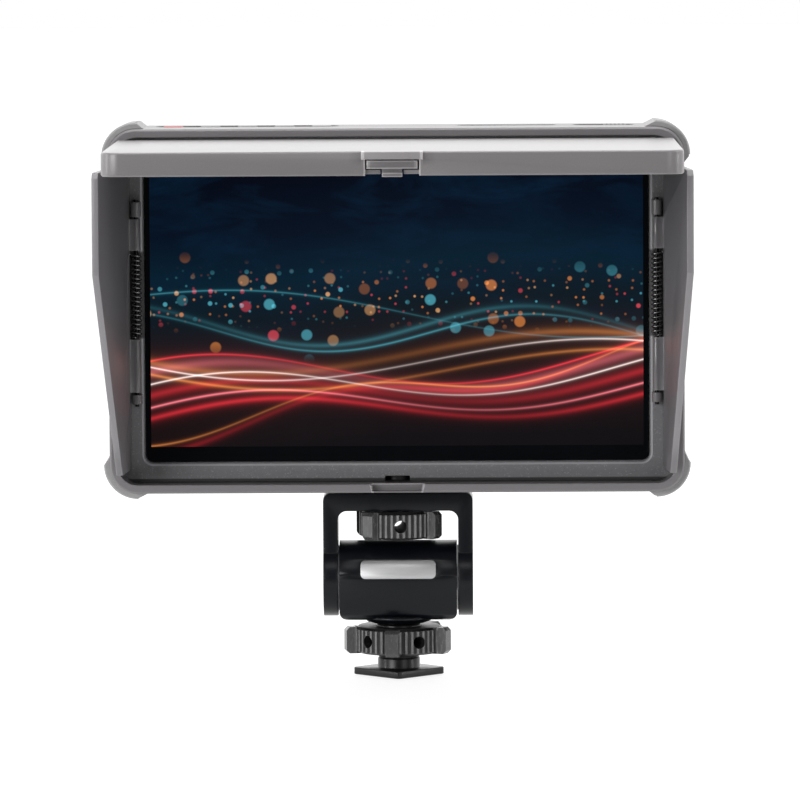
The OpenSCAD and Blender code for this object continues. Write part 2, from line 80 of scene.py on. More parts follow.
# ------------------------------------------------------------------ node tree helper
class Tree:
    """Short names for the shader nodes of one material."""

    def __init__(self, name):
        self.mat = bpy.data.materials.new(name)
        self.mat.use_nodes = True
        self.nt = self.mat.node_tree
        self.nt.nodes.clear()
        self.out = self.nt.nodes.new("ShaderNodeOutputMaterial")
        self.bsdf = self.nt.nodes.new("ShaderNodeBsdfPrincipled")
        self.nt.links.new(self.bsdf.outputs[0], self.out.inputs[0])
        self.co = self.nt.nodes.new("ShaderNodeTexCoord").outputs["Object"]

    def put(self, socket, value):
        if isinstance(value, bpy.types.NodeSocket):
            self.nt.links.new(value, socket)
        elif isinstance(value, (tuple, list)) and len(value) == 3 and socket.type == "RGBA":
            socket.default_value = (*value, 1.0)
        else:
            socket.default_value = value

    def set(self, **kw):
        for k, v in kw.items():
            self.put(self.bsdf.inputs[k.replace("_", " ")], v)
        return self

    def math(self, op, a, b=0.0, c=None, clamp=False):
        n = self.nt.nodes.new("ShaderNodeMath")
        n.operation, n.use_clamp = op, clamp
        self.put(n.inputs[0], a)
        self.put(n.inputs[1], b)
        if c is not None:
            self.put(n.inputs[2], c)
        return n.outputs[0]

    def vec(self, op, a, b=(0, 0, 0)):
        n = self.nt.nodes.new("ShaderNodeVectorMath")
        n.operation = op
        self.put(n.inputs[0], a)
        self.put(n.inputs[1], b)
        return n.outputs["Value" if op in ("DOT_PRODUCT", "LENGTH", "DISTANCE") else "Vector"]

    def xyz(self, v=None):
        n = self.nt.nodes.new("ShaderNodeSeparateXYZ")
        self.put(n.inputs[0], self.co if v is None else v)
        return n.outputs[0], n.outputs[1], n.outputs[2]

    def join(self, x, y, z):
        n = self.nt.nodes.new("ShaderNodeCombineXYZ")
        for i, v in enumerate((x, y, z)):
            self.put(n.inputs[i], v)
        return n.outputs[0]

    def scaled(self, s, v=None):
        n = self.nt.nodes.new("ShaderNodeMapping")
        self.put(n.inputs["Vector"], self.co if v is None else v)
        n.inputs["Scale"].default_value = s
        return n.outputs[0]

    def noise(self, scale, detail=2.0, rough=0.5, v=None, distort=0.0):
        n = self.nt.nodes.new("ShaderNodeTexNoise")
        self.put(n.inputs["Vector"], self.co if v is None else v)
        n.inputs["Scale"].default_value = scale
        n.inputs["Detail"].default_value = detail
        n.inputs["Roughness"].default_value = rough
        n.inputs["Distortion"].default_value = distort
        return n.outputs["Fac"]

    def cells(self, scale, v=None, feature="F1", out="Distance"):
        n = self.nt.nodes.new("ShaderNodeTexVoronoi")
        n.feature = feature
        self.put(n.inputs["Vector"], self.co if v is None else v)
        n.inputs["Scale"].default_value = scale
        return n.outputs[out]

    def span(self, v, lo, hi, to_lo=0.0, to_hi=1.0, smooth=False):
        n = self.nt.nodes.new("ShaderNodeMapRange")
        n.clamp = True
        if smooth:
            n.interpolation_type = "SMOOTHSTEP"
        self.put(n.inputs[0], v)
        for i, x in enumerate((lo, hi, to_lo, to_hi)):
            self.put(n.inputs[i + 1], x)
        return n.outputs[0]

    def mix(self, f, a, b, mode="MIX"):
        n = self.nt.nodes.new("ShaderNodeMix")
        n.data_type, n.blend_type = "RGBA", mode
        self.put(n.inputs[0], f)
        self.put(n.inputs[6], a)
        self.put(n.inputs[7], b)
        return n.outputs[2]

    def ramp(self, f, stops, ease="LINEAR"):
        n = self.nt.nodes.new("ShaderNodeValToRGB")
        n.color_ramp.interpolation = ease
        self.put(n.inputs[0], f)
        e = n.color_ramp.elements
        while len(e) < len(stops):
            e.new(0.5)
        for i, (p, c) in enumerate(stops):
            e[i].position, e[i].color = p, (*c, 1.0)
        return n.outputs[0]

    def bump(self, height, strength, distance, normal=None):
        n = self.nt.nodes.new("ShaderNodeBump")
        n.inputs["Strength"].default_value = strength
        n.inputs["Distance"].default_value = distance
        self.put(n.inputs["Height"], height)
        if normal is not None:
            self.put(n.inputs["Normal"], normal)
        return n.outputs[0]

    def bevel(self, radius):
        n = self.nt.nodes.new("ShaderNodeBevel")
        n.samples = 4
        n.inputs["Radius"].default_value = radius
        return n.outputs[0]

    def edge(self, radius=0.0004):
        """1 on a sharp outer or inner edge, 0 on the flat."""
        g = self.nt.nodes.new("ShaderNodeNewGeometry").outputs["Normal"]
        d = self.vec("DOT_PRODUCT", self.bevel(radius), g)
        return self.span(d, 0.995, 0.80, 0.0, 1.0)


def tone(c, k):
    return tuple(min(1.0, x * k) for x in c)


def outline(t, w, h, r, zc):
    """How far a point lies outside a rounded rectangle in X and Z, in metres."""
    x, y, z = t.xyz()
    qx = t.math("SUBTRACT", t.math("ABSOLUTE", x), w / 2 - r)
    qz = t.math("SUBTRACT", t.math("ABSOLUTE", t.math("SUBTRACT", z, zc)), h / 2 - r)
    ox, oz = t.math("MAXIMUM", qx, 0.0), t.math("MAXIMUM", qz, 0.0)
    far = t.math("SQRT", t.math("ADD", t.math("MULTIPLY", ox, ox), t.math("MULTIPLY", oz, oz)))
    near = t.math("MINIMUM", t.math("MAXIMUM", qx, qz), 0.0)
    return t.math("SUBTRACT", t.math("ADD", far, near), r)


def on_bumper(t):
    return t.span(outline(t, 0.1544, 0.0979, 0.0075, 0.1001), 0.00008, 0.00022)


def plate_edge(t, half_w, half_h, zc, near, far):
    """1 along the inside of a rectangle's sides in X and Z, 0 in its middle and outside it."""
    x, y, z = t.xyz()
    qx = t.math("SUBTRACT", t.math("ABSOLUTE", x), half_w)
    qz = t.math("SUBTRACT", t.math("ABSOLUTE", t.math("SUBTRACT", z, zc)), half_h)
    q = t.math("MAXIMUM", qx, qz)
    return t.math("MULTIPLY", t.span(q, -far, -near), t.span(q, 0.00012, 0.00004))


def on_catch(t):
    """The lid's front round its latch: painted highlights on the ledge, at its ends and along its sides, and painted
    shade in soft dark patches each side of it.
    """
    x, y, z = t.xyz()
    wide = t.math("ABSOLUTE", x)
    front = t.span(y, -0.1010, -0.1020)
    ledge = t.math("MULTIPLY", t.span(wide, 0.00792, 0.00782), t.span(z, 0.1448, 0.1449))
    ends = t.math("MULTIPLY", ledge, t.span(wide, 0.00700, 0.00720))
    sides = t.math("MULTIPLY", t.span(wide, 0.00740, 0.00715), t.span(wide, 0.00675, 0.00685))
    sides = t.math("MULTIPLY", sides, t.span(z, 0.1452, 0.1448))
    bright = t.math("ADD", t.math("MULTIPLY", ledge, 0.22), t.math("ADD", t.math("MULTIPLY", ends, 0.5), t.math("MULTIPLY", sides, 0.5)))
    # Painted shade in soft dark patches each side of the ledge.
    painted_shade = t.math("MULTIPLY", t.span(wide, 0.0112, 0.0080), t.span(wide, 0.00782, 0.00796))
    high = t.span(z, 0.1432, 0.1446)
    return t.math("MULTIPLY", bright, front), t.math("MULTIPLY", t.math("MULTIPLY", painted_shade, high), front)


def on_push_bar(t):
    """The latch's bar and tongue: painted highlights along their outlines and at the bar's ends, and painted shade on
    the step above the tongue's tip.
    """
    x, y, z = t.xyz()
    wide = t.math("ABSOLUTE", x)
    bar = plate_edge(t, 0.0065, 0.00105, 0.14361, 0.00018, 0.00042)
    ends = t.math("MULTIPLY", t.span(wide, 0.0055, 0.0058), t.span(z, 0.1425, 0.1426))
    tip = plate_edge(t, 0.0026, 0.00050, 0.14096, 0.00012, 0.00034)
    step = t.math("MULTIPLY", t.span(t.math("ABSOLUTE", t.math("SUBTRACT", z, 0.1420)), 0.00060, 0.00045), t.span(wide, 0.0030, 0.0028))
    return t.math("ADD", t.math("MULTIPLY", t.math("MAXIMUM", bar, tip), 0.55), t.math("MULTIPLY", ends, 0.25)), step


def on_notch(t):
    """Painted highlight along the edges of the finger notch in the rim."""
    x, y, z = t.xyz()
    wide = t.math("ABSOLUTE", x)
    d = t.math("SUBTRACT", wide, t.math("MULTIPLY_ADD", t.math("SUBTRACT", z, 0.05155), 0.25, 0.0067))
    side = t.math("MULTIPLY", t.span(t.math("ABSOLUTE", d), 0.00040, 0.00020), t.span(z, 0.05380, 0.05360))
    top_highlight = t.math("MULTIPLY", t.span(t.math("ABSOLUTE", t.math("SUBTRACT", z, 0.05345)), 0.00033, 0.00020), t.span(d, 0.0002, 0.0))
    line = t.math("MULTIPLY", t.math("MAXIMUM", side, top_highlight), t.span(y, -0.0152, -0.0155))
    return t.math("MULTIPLY", line, 0.62), t.math("MULTIPLY", line, 0.0)


def on_free_edge(t):
    """A flap's free edge, which looks forward: painted lighter than its faces, as a painted highlight on the faces that
    look forward.
    """
    n = t.nt.nodes.new("ShaderNodeTexCoord").outputs["Normal"]
    x, y, z = t.xyz()
    face = t.math("MULTIPLY", t.span(t.xyz(n)[1], -0.55, -0.80), t.span(y, -0.030, -0.034))
    return t.math("MULTIPLY", face, 0.24), t.math("MULTIPLY", face, 0.0)


def by_pin(t):
    """Round the flap's pin, where rubbing has made the plastic shine."""
    x, y, z = t.xyz()
    near = t.span(t.math("ABSOLUTE", t.math("SUBTRACT", t.math("ABSOLUTE", x), 0.0700)), 0.0019, 0.0016)
    return t.math("MULTIPLY", near, t.math("MULTIPLY", t.span(y, -0.0127, -0.0123), t.span(y, -0.0086, -0.0090)))


def by_spring(t):
    """Shade on the frame behind a flap's coil spring."""
    x, y, z = t.xyz()
    near = t.span(t.math("ABSOLUTE", t.math("SUBTRACT", t.math("ABSOLUTE", x), 0.0701)), 0.0022, 0.0017)
    return t.math("MULTIPLY", near, t.span(t.math("ABSOLUTE", t.math("SUBTRACT", z, 0.1040)), 0.0120, 0.0114))


def shell_inside_shade(t):
    """Painted shade on the inner faces of the rear shell."""
    x, y, z = t.xyz()
    deep = t.span(outline(t, 0.1544, 0.0979, 0.0075, 0.1001), -0.0015, -0.0017)
    return t.math("MULTIPLY", t.math("MULTIPLY", deep, t.span(z, 0.1430, 0.1428)), t.span(y, 0.0074, 0.0072))


def on_bezel(t):
    x, y, z = t.xyz()
    deep = t.span(y, -0.0108, -0.0104)
    return t.math("MULTIPLY", deep, t.span(outline(t, 0.1504, 0.0939, 0.0055, 0.1001), 0.0002, 0.0))


def moulded(name, colour, rough=0.45, grain=2600, depth=0.16, vary=0.06, edge=0.10, spec=0.5,
            soft=0.00022, edge_r=0.0004, sparkle=0.0, coat=0.0, painted_light=None, sleek=0.0, zone=None, zone_colour=None, zone_rough=0.5, zone_sparkle=0.0):
    """Moulded plastic: spark-eroded grain, slow tone drift, edges lightened partly as wear and partly as painted
    highlight. A zone is a second material on one piece.
    """
    t = Tree(name)
    drift = t.noise(38, 3, 0.55)
    fine = t.noise(grain, 3, 0.65)
    pits = t.cells(grain * 0.55)
    base = t.mix(t.span(drift, 0.3, 0.7), tone(colour, 1 - vary), tone(colour, 1 + vary))
    base = t.mix(t.span(fine, 0.35, 0.65, 0.0, 0.5), base, tone(colour, 0.86))
    if edge:
        # Edges lightened in patches: partly wear, partly a painted highlight along the edges.
        wear_and_sheen = t.math("MULTIPLY", t.edge(edge_r), t.span(t.noise(420, 4, 0.7), 0.35, 0.7, 0.25, 1.0))
        base = t.mix(t.math("MULTIPLY", wear_and_sheen, edge), base, tone(colour, 2.2))
    if sparkle:
        dots = t.cells(5200, out="Color")
        glint = t.span(t.xyz(dots)[0], 0.93, 0.99)
        base = t.mix(t.math("MULTIPLY", glint, sparkle), base, (0.62, 0.62, 0.64))
    height = t.math("ADD", t.math("MULTIPLY", fine, 0.7), t.math("MULTIPLY", pits, 0.5))
    dull = t.span(t.noise(1800, 4, 0.7), 0.3, 0.7, rough - 0.018, rough + 0.022)
    if zone:
        here = zone(t)
        other = t.mix(t.span(t.noise(300, 4, 0.7), 0.35, 0.7), tone(zone_colour, 0.95), tone(zone_colour, 1.05))
        other = t.mix(t.span(fine, 0.35, 0.65, 0.0, 0.4), other, tone(zone_colour, 0.88))
        if zone_sparkle:
            dots = t.xyz(t.cells(3600, out="Color"))[0]
            other = t.mix(t.span(dots, 0.90, 0.97, 0.0, zone_sparkle), other, tone(zone_colour, 3.0))
            other = t.mix(t.span(dots, 0.10, 0.03, 0.0, zone_sparkle), other, tone(zone_colour, 0.45))
        base = t.mix(here, base, other)
        # Painted shade: the rear shell's inner faces darkened to near black.
        if zone is on_bumper:
            base = t.mix(shell_inside_shade(t), base, (0.0015, 0.0015, 0.0015))
        if zone is on_bezel:
            # Painted highlight: a light line along the chamfer round the cover glass.
            rimmed = outline(t, 0.1358, 0.0827, 0.0021, 0.10005)
            line = t.math("MULTIPLY", t.span(rimmed, 0.00040, 0.00055), t.span(rimmed, 0.00100, 0.00090))
            line = t.math("MULTIPLY", line, t.span(t.xyz()[1], -0.0092, -0.0087))
            base = t.mix(t.math("MULTIPLY", line, 0.75), base, tone(zone_colour, 2.4))
            # Painted shade: near black in the crease at the foot of the rim's lower inside face, and inside the latch
            # hook's slot.
            base = t.mix(crease_shade(t), base, (0.012, 0.012, 0.013))
            base = t.mix(hook_slot_shade(t), base, (0.0012, 0.0012, 0.0013))
            base = t.mix(t.math("MULTIPLY", by_spring(t), 0.85), base, (0.004, 0.004, 0.004))
        dull = t.math("ADD", dull, t.math("MULTIPLY", here, zone_rough - rough))
    # Painted light marks: the first mask lightens as a painted highlight, the second darkens as painted shade.
    if painted_light:
        near, painted_shade = painted_light(t)
        base = t.mix(t.math("MULTIPLY", painted_shade, 0.55), base, tone(colour, 0.45))
        base = t.mix(near, base, tone(colour, 3.0))
    if sleek:
        dull = t.math("SUBTRACT", dull, t.math("MULTIPLY", by_pin(t), sleek))
    t.set(Base_Color=base, Specular_IOR_Level=spec, Roughness=dull,
          Normal=t.bump(height, depth, 0.00003, t.bevel(soft)))
    if coat:
        t.set(Coat_Weight=coat, Coat_Roughness=0.25)
    return t.mat


def metal(name, colour, rough=0.3, stretch=(1, 1, 1), scale=900, depth=0.12, vary=0.10, soft=0.00015,
          edge=0.12, grime=0.25):
    """Machined metal: lines along one direction, darker where dirt sits."""
    t = Tree(name)
    lines = t.noise(scale, 4, 0.62, t.scaled(stretch))
    spots = t.noise(160, 4, 0.6)
    base = t.mix(t.span(lines, 0.3, 0.7), tone(colour, 1 - vary), tone(colour, 1 + vary))
    base = t.mix(t.span(spots, 0.58, 0.75, 0.0, grime), base, tone(colour, 0.45))
    if edge:
        base = t.mix(t.math("MULTIPLY", t.edge(0.0003), edge), base, tone(colour, 1.6))
    t.set(Base_Color=base, Metallic=1.0,
          Roughness=t.span(t.noise(700, 3, 0.6, t.scaled(stretch)), 0.3, 0.7, rough - 0.07, rough + 0.09),
          Normal=t.bump(lines, depth, 0.00002, t.bevel(soft)))
    return t.mat


def rubber(name, colour, rough=0.62, grain=1900):
    t = Tree(name)
    fine = t.noise(grain, 4, 0.7)
    dust = t.noise(240, 4, 0.7)
    base = t.mix(t.span(t.noise(60, 2), 0.3, 0.7), tone(colour, 0.92), tone(colour, 1.08))
    base = t.mix(t.span(dust, 0.55, 0.75, 0.0, 0.2), base, tone(colour, 1.6))
    t.set(Base_Color=base, Specular_IOR_Level=0.35,
          Roughness=t.span(dust, 0.3, 0.7, rough - 0.07, rough + 0.08),
          Normal=t.bump(fine, 0.3, 0.00004, t.bevel(0.0003)))
    return t.mat


def anodised(name, colour, rough=0.36, spec=0.5, edge=0.18, grain=5200, blasted=0.35, worn_and_sheen=(0.32, 0.33, 0.35), depth=0.22):
    """Bead-blasted and dyed aluminium."""
    t = Tree(name)
    blast = t.noise(grain, 3, 0.7)
    pits = t.cells(grain * 0.6)
    base = t.mix(t.span(t.noise(55, 3), 0.3, 0.7), tone(colour, 0.93), tone(colour, 1.08))
    base = t.mix(t.span(blast, 0.5, 0.75, 0.0, blasted), base, tone(colour, 1.5))
    # Edges lightened: partly wear, partly a painted highlight along the edges.
    wear_and_sheen = t.math("MULTIPLY", t.edge(0.00035), t.span(t.noise(500, 4, 0.7), 0.4, 0.7, 0.3, 1.0))
    base = t.mix(t.math("MULTIPLY", wear_and_sheen, edge), base, worn_and_sheen)
    t.set(Base_Color=base, Specular_IOR_Level=spec, Metallic=0.0,
          Roughness=t.span(t.noise(2400, 4, 0.7), 0.3, 0.7, rough - 0.018, rough + 0.022),
          Normal=t.bump(t.math("ADD", blast, t.math("MULTIPLY", pits, 0.6)), depth, 0.00002, t.bevel(0.00025)))
    return t.mat


def knurled(name, core, hole_z, k=1.0):
    """Turned and dyed wheel: painted highlight on the crests of the grip ribs, painted shade down in the grooves
    between them and inside the hole, and edges lightened partly as wear and partly as painted highlight.
    """
    t = Tree(name)
    x, y, z = t.xyz()
    r = t.math("SQRT", t.math("ADD", t.math("MULTIPLY", x, x), t.math("MULTIPLY", y, y)))
    scuff = t.noise(1500, 4, 0.7, t.scaled((1, 1, 0.25)))
    # Painted highlight on the rib crests and painted shade in the grooves between them.
    rib_highlight = t.math("MULTIPLY", t.span(r, core + 0.00026, core + 0.00038), t.span(r, core + 0.0010, core + 0.0006, 0.28, 1.0))
    groove_shade = t.math("MULTIPLY", t.span(r, core - 0.00045, core - 0.0002), t.span(r, core + 0.00034, core + 0.00024))
    top_highlight = t.mix(t.span(scuff, 0.35, 0.7), tone((0.10, 0.10, 0.102), k), tone((0.20, 0.20, 0.203), k))
    base = t.mix(t.span(t.noise(60, 3), 0.3, 0.7), tone((0.006, 0.006, 0.0063), k), tone((0.009, 0.009, 0.0094), k))
    base = t.mix(rib_highlight, base, top_highlight)
    base = t.mix(groove_shade, base, (0.0015, 0.0015, 0.0016))
    # Painted shade inside the hole.
    inner = t.span(r, core - 0.0005, core - 0.0008)
    bore_shade = t.math("MULTIPLY", inner, t.span(t.math("ABSOLUTE", t.math("SUBTRACT", z, hole_z)), 0.00185, 0.00180))
    base = t.mix(bore_shade, base, (0.0006, 0.0006, 0.0006))
    # Edges lightened: partly wear, partly a painted highlight.
    worn_and_sheen = t.math("MULTIPLY", t.edge(0.00025), t.span(t.noise(500, 4, 0.7), 0.4, 0.7, 0.3, 1.0))
    base = t.mix(t.math("MULTIPLY", worn_and_sheen, 0.25), base, (0.35, 0.35, 0.36))
    t.set(Base_Color=base, Specular_IOR_Level=0.6,
          Roughness=t.math("ADD", t.math("ADD", t.span(scuff, 0.3, 0.7, 0.20, 0.30), t.math("MULTIPLY", groove_shade, 0.45)),
                           t.math("ADD", t.math("MULTIPLY", inner, 0.16), t.math("MULTIPLY", bore_shade, 0.5))),
          Normal=t.bump(t.noise(5200, 3, 0.7), 0.10, 0.00002, t.bevel(0.00015)))
    return t.mat


def crease_shade(t):
    """Painted shade at the foot of the rim's lower inside face, where it meets the bezel."""
    x, y, z = t.xyz()
    low = t.math("MULTIPLY", t.span(z, 0.0544, 0.0541), t.span(z, 0.0530, 0.0533))
    return t.math("MULTIPLY", low, t.math("MULTIPLY", t.span(y, -0.0150, -0.0115), t.span(y, -0.0082, -0.0084)))


def hook_slot_shade(t):
    """Painted shade inside the slot for the latch's hook."""
    x, y, z = t.xyz()
    near = t.math("MULTIPLY", t.span(t.math("ABSOLUTE", x), 0.0037, 0.0036), t.span(z, 0.0560, 0.0558))
    return t.math("MULTIPLY", near, t.span(y, -0.00846, -0.0083))


def board(name, mask=(0.012, 0.10, 0.035), track=(0.03, 0.20, 0.07), pad=(0.75, 0.62, 0.32)):
    """Circuit board with tracks, pads and printed blocks."""
    t = Tree(name)
    x, y, z = t.xyz()
    tracks = t.cells(520, t.scaled((1, 0.2, 1)), "DISTANCE_TO_EDGE")
    pads = t.cells(900, t.scaled((1, 0.2, 1)))
    base = t.mix(t.span(tracks, 0.02, 0.05), track, mask)
    base = t.mix(t.span(pads, 0.16, 0.12), base, pad)
    t.set(Base_Color=base, Specular_IOR_Level=0.6, Roughness=t.span(pads, 0.12, 0.16, 0.25, 0.4),
          Normal=t.bump(tracks, 0.3, 0.00005))
    return t.mat


def socket(name):
    """Drawn tin shell that is bright at its rim, with a dark plastic inside."""
    t = Tree(name)
    lines = t.noise(700, 3, 0.6, t.scaled((0.2, 1, 1)))
    rim = t.span(t.xyz()[0], -0.0760, -0.0764)
    tin = t.mix(t.span(lines, 0.3, 0.7), (0.30, 0.30, 0.305), (0.36, 0.36, 0.365))
    dark = t.mix(t.span(t.noise(420, 3, 0.6), 0.3, 0.7), (0.009, 0.009, 0.010), (0.013, 0.013, 0.014))
    t.set(Base_Color=t.mix(rim, dark, tin), Metallic=rim, Specular_IOR_Level=0.25, Roughness=t.span(rim, 0.0, 1.0, 0.62, 0.46),
          Normal=t.bump(lines, 0.08, 0.00002, t.bevel(0.00015)))
    return t.mat


# ------------------------------------------------------------------ the picture on the screen
def screen():
    """Cover glass: black border, and a generic pattern of light waves and soft discs in the picture area."""
    t = Tree("screen_glass")
    x, y, z = t.xyz()
    u = t.math("DIVIDE", t.math("ADD", x, 0.0664), 0.1328)
    v = t.math("DIVIDE", t.math("SUBTRACT", z, 0.0629), 0.0747)
    inside = t.math("MULTIPLY",
                    t.math("LESS_THAN", t.math("ABSOLUTE", t.math("SUBTRACT", u, 0.5)), 0.5),
                    t.math("LESS_THAN", t.math("ABSOLUTE", t.math("SUBTRACT", v, 0.5)), 0.5))
    front = t.math("LESS_THAN", y, -0.00815)
    # backdrop: dark blue above, near black brown below
    low = t.math("ADD", v, t.math("MULTIPLY", t.math("SINE", t.math("MULTIPLY_ADD", u, 5.2, 0.8)), 0.05))
    pic = t.ramp(low, [(0.0, (0.004, 0.003, 0.0035)), (0.32, (0.013, 0.006, 0.006)), (0.5, (0.003, 0.008, 0.013)),
                       (0.64, (0.0012, 0.013, 0.027)), (0.80, (0.0008, 0.0045, 0.014)), (1.0, (0.0005, 0.0018, 0.007))])
    haze = t.noise(5.0, 5, 0.6, t.join(u, t.math("MULTIPLY", v, 1.6), 0.0), 0.6)
    pic = t.mix(t.math("MULTIPLY", t.span(haze, 0.45, 0.75), t.span(v, 0.35, 0.75)), pic, (0.0015, 0.014, 0.036))
    # soft discs of light
    for scale, radius, soft, gain, seed, keep, lo, hi in (
            (9.0, 0.20, 0.05, 0.85, 2.3, 0.62, 0.30, 0.72), (17.0, 0.17, 0.07, 1.0, 7.7, 0.55, 0.40, 0.68),
            (34.0, 0.20, 0.12, 0.9, 4.1, 0.50, 0.42, 0.66)):
        at = t.join(t.math("ADD", t.math("MULTIPLY", u, 1.778), seed), v, seed)
        n = t.nt.nodes.new("ShaderNodeTexVoronoi")
        n.voronoi_dimensions = "2D"
        n.inputs["Scale"].default_value = scale
        n.inputs["Randomness"].default_value = 0.85
        t.put(n.inputs["Vector"], at)
        rnd = t.xyz(n.outputs["Color"])
        disc = t.span(n.outputs["Distance"], radius, radius - soft)
        some = t.math("GREATER_THAN", rnd[0], keep)
        band = t.math("MULTIPLY", t.span(v, lo, lo + 0.1, smooth=True), t.span(v, hi, hi - 0.12, smooth=True))
        hue = t.ramp(rnd[1], [(0.0, (0.95, 0.30, 0.06)), (0.36, (1.0, 0.50, 0.20)), (0.55, (0.85, 0.07, 0.10)),
                              (0.72, (0.10, 0.50, 0.62)), (1.0, (0.45, 0.75, 0.85))], "CONSTANT")
        k = t.math("MULTIPLY", t.math("MULTIPLY", disc, some),
                   t.math("MULTIPLY", band, t.math("MULTIPLY", t.math("ADD", rnd[2], 0.25), gain * 0.5)))
        pic = t.mix(k, pic, hue, "ADD")
    # waves of light: height = a + b*u + c*sin(k*u + p)
    red, pink, amber, cyan, white = (0.80, 0.03, 0.045), (0.95, 0.20, 0.24), (0.85, 0.28, 0.07), (0.08, 0.42, 0.52), (0.95, 0.78, 0.74)
    waves = [
        (0.09, 0.10, 0.060, 6.0, 0.2, 0.010, 0.55, red), (0.12, 0.10, 0.062, 6.0, 0.35, 0.004, 0.9, pink),
        (0.155, 0.10, 0.064, 6.0, 0.5, 0.016, 0.35, red), (0.185, 0.10, 0.068, 6.0, 0.65, 0.003, 0.9, white),
        (0.22, 0.09, 0.072, 6.0, 0.8, 0.020, 0.30, pink), (0.25, 0.08, 0.075, 6.0, 0.95, 0.004, 0.8, red),
        (0.30, -0.04, 0.085, 4.4, 3.6, 0.006, 0.55, amber), (0.34, -0.05, 0.090, 4.4, 3.75, 0.003, 0.8, white),
        (0.37, -0.06, 0.095, 4.4, 3.9, 0.014, 0.30, amber), (0.42, -0.02, 0.070, 7.4, 2.1, 0.004, 0.45, cyan),
        (0.445, -0.02, 0.074, 7.4, 2.2, 0.009, 0.22, cyan), (0.05, 0.30, 0.050, 8.8, 4.4, 0.004, 0.6, amber),
        (0.02, 0.33, 0.052, 8.8, 4.5, 0.012, 0.35, red), (0.53, -0.10, 0.055, 5.2, 0.4, 0.003, 0.35, cyan)]
    for a, b, c, k, p, w, g, hue in waves:
        line = t.math("MULTIPLY_ADD", u, b, a)
        line = t.math("MULTIPLY_ADD", t.math("SINE", t.math("MULTIPLY_ADD", u, k, p)), c, line)
        d = t.math("DIVIDE", t.math("SUBTRACT", v, line), w)
        core = t.math("DIVIDE", 1.0, t.math("MULTIPLY_ADD", t.math("MULTIPLY", d, d), 1.0, 1.0))
        core = t.math("MULTIPLY", t.math("POWER", core, 1.6), g)
        fade = t.span(t.math("SINE", t.math("MULTIPLY_ADD", u, 4.0 + k * 0.4, p * 2.1)), -1.0, 1.0, 0.35, 1.0)
        pic = t.mix(t.math("MULTIPLY", t.math("MULTIPLY", core, fade), 1.25), pic, hue, "ADD")
    on = t.math("MULTIPLY", inside, front)
    smear = t.noise(60, 4, 0.6, distort=1.5)
    t.set(Base_Color=t.mix(t.span(smear, 0.3, 0.8), (0.0024, 0.0029, 0.0038), (0.0032, 0.0037, 0.0048)),
          Roughness=t.span(smear, 0.3, 0.8, 0.10, 0.18), Specular_IOR_Level=0.05,
          Emission_Color=t.mix(on, (0.0, 0.0, 0.0), pic), Emission_Strength=1.0,
          Normal=t.bevel(0.00025))
    return t.mat


